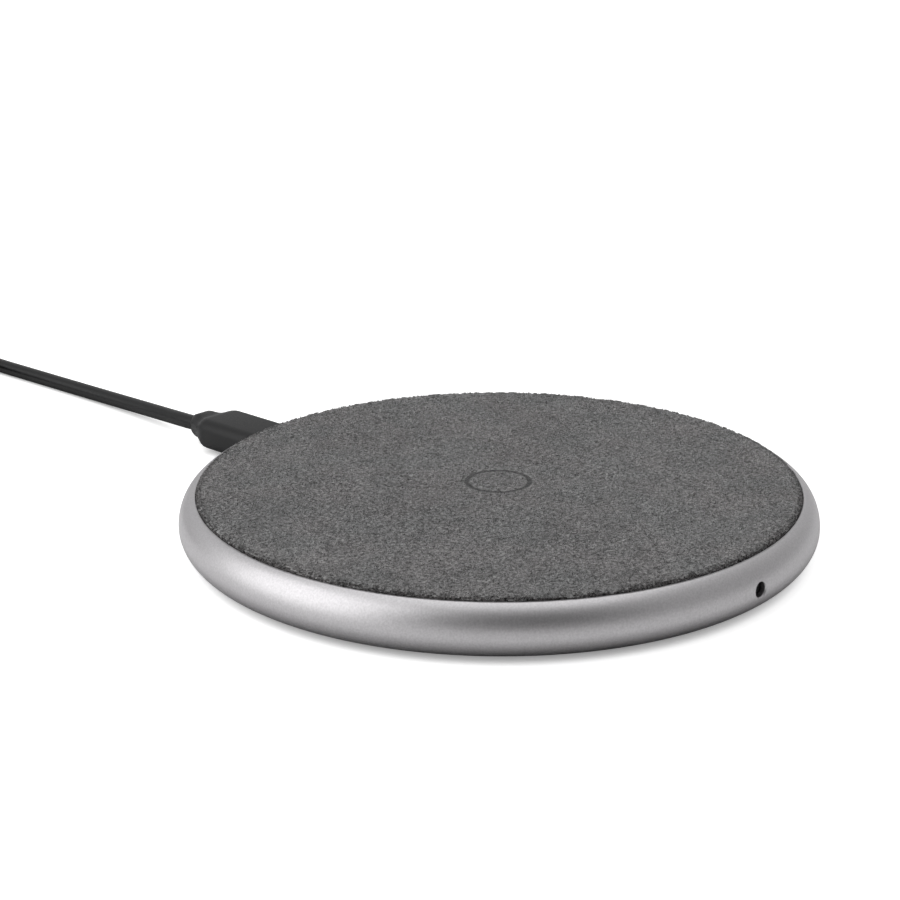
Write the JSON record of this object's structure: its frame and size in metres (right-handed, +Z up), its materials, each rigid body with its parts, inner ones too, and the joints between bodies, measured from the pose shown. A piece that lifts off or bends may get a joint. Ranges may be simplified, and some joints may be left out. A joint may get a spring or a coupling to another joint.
{
  "type": "wireless charging pad",
  "caption": "Round low wireless charging pad with a suede top set in a satin aluminium ring, a status light in the rim and a plug-in charging lead wound in a coil.",
  "frame": {"origin": "middle of the pad on the surface it stands on, measured without the lead", "axes": "+Z up out of the suede top; +Y out of the charging port towards the lead; -Y towards the status light"},
  "size_m": [0.1077, 0.2391, 0.0099],
  "materials": {
    "suede": "microsuede, matt, fine nap",
    "adhesive": "double-sided film",
    "moulding": "moulded black ABS",
    "aluminium": "bead blasted and anodised, satin",
    "silicone": "moulded silicone, matt",
    "steel": "nickel plated steel",
    "laminate": "glass-epoxy laminate with solder mask",
    "chip": "epoxy moulding",
    "capacitor": "ceramic",
    "lens": "smoked polycarbonate",
    "copper": "enamelled copper wire",
    "ferrite": "sintered ferrite, matt",
    "foam": "foam pad",
    "rubber": "moulded TPE, matt",
    "cord": "extruded TPE jacket, satin",
    "tie": "woven hook-and-loop tie",
    "gold": "gold flash"
  },
  "bodies": {
    "pad": {"suede_cover": "suede", "cover_adhesive": "adhesive", "top_plate": "moulding", "housing_ring": "aluminium", "base_plate": "moulding", "foot_ring": "silicone", "case_screw_1": "steel", "case_screw_2": "steel", "case_screw_3": "steel", "case_screw_4": "steel", "circuit_board": "laminate", "board_screw_1": "steel", "board_screw_2": "steel", "board_screw_3": "steel", "controller_chip": "chip", "bridge_chip": "chip", "power_inductor": "chip", "input_capacitor_1": "capacitor", "input_capacitor_2": "capacitor", "resonant_capacitor_1": "capacitor", "resonant_capacitor_2": "capacitor", "resonant_capacitor_3": "capacitor", "resonant_capacitor_4": "capacitor", "status_led": "lens", "light_pipe": "lens", "transmit_coil": "copper", "coil_lead_inner": "copper", "coil_lead_outer": "copper", "ferrite_disc": "ferrite", "coil_spacer": "foam", "thermistor": "lens", "usb_receptacle_shell": "steel", "usb_receptacle_tongue": "moulding"},
    "lead": {"plug_shell": "steel", "plug_contact_block": "moulding", "plug_board": "laminate", "plug_boot": "rubber", "strain_relief": "rubber", "cord_lead": "cord", "cord_winding": "cord", "cord_tail": "cord", "cord_tie": "tie", "far_strain_relief": "rubber", "far_plug_boot": "rubber", "far_plug_shell": "steel", "far_contact_block": "moulding", "far_contact_1": "gold", "far_contact_2": "gold", "far_contact_3": "gold", "far_contact_4": "gold"}
  },
  "joints": [
    {"name": "plug_slide", "type": "slide", "parent": "pad", "child": "lead", "axis": [0, 1, 0], "range_m": [0, 0.012]}
  ]
}
